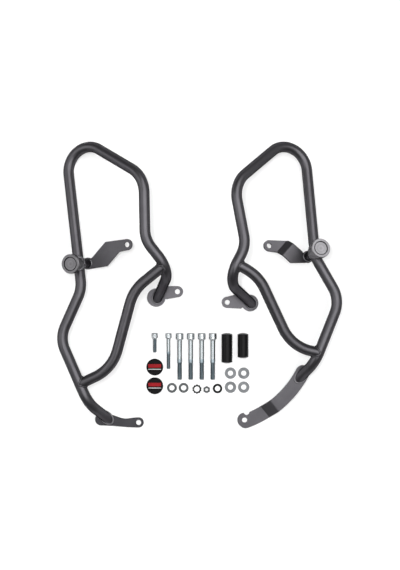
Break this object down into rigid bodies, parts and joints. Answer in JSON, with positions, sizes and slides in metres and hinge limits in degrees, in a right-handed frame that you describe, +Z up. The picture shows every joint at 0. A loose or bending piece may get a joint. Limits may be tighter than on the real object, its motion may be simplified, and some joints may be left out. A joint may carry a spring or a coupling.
{
  "type": "motorcycle crash bars",
  "caption": "Bent-tube motorcycle engine crash bars with welded brackets and round slider bosses, laid flat beside their mounting bolts, spacers, washers, nut and boss caps.",
  "frame": {"origin": "on the floor under the middle of the laid-out set", "axes": "+Z up from the floor, the outboard side of both lying bars; +Y up the machine; +X from the left bar to the right bar as laid out"},
  "size_m": [0.5885, 0.6022, 0.114],
  "materials": {
    "powder_coat": "satin anthracite powder coat with fine orange peel over welded steel",
    "zinc_bolt": "bright zinc plate",
    "zinc_washer": "zinc plate, slightly dull",
    "black_steel": "black oxide, semi-gloss",
    "cap_plastic": "glossy black moulding with a red and a white band"
  },
  "bodies": {
    "root": {"left_main_tube": "powder_coat", "left_brace_tube": "powder_coat", "left_slider_sleeve": "powder_coat", "left_slider_boss": "powder_coat", "left_upper_bracket": "powder_coat", "left_rear_tab": "powder_coat", "left_lower_strap": "powder_coat", "right_main_tube": "powder_coat", "right_brace_tube": "powder_coat", "right_slider_sleeve": "powder_coat", "right_slider_boss": "powder_coat", "right_upper_bracket": "powder_coat", "right_rear_tab": "powder_coat", "right_lower_strap": "powder_coat", "short_bolt": "zinc_bolt", "medium_bolt": "zinc_bolt", "long_bolts": "zinc_bolt", "large_washers": "zinc_washer", "plain_washers": "zinc_washer", "hex_nut": "zinc_washer", "long_spacer": "black_steel", "short_spacer": "black_steel", "black_washer": "black_steel", "lock_washer": "black_steel", "left_boss_cap": "cap_plastic", "right_boss_cap": "cap_plastic"}
  },
  "joints": []
}
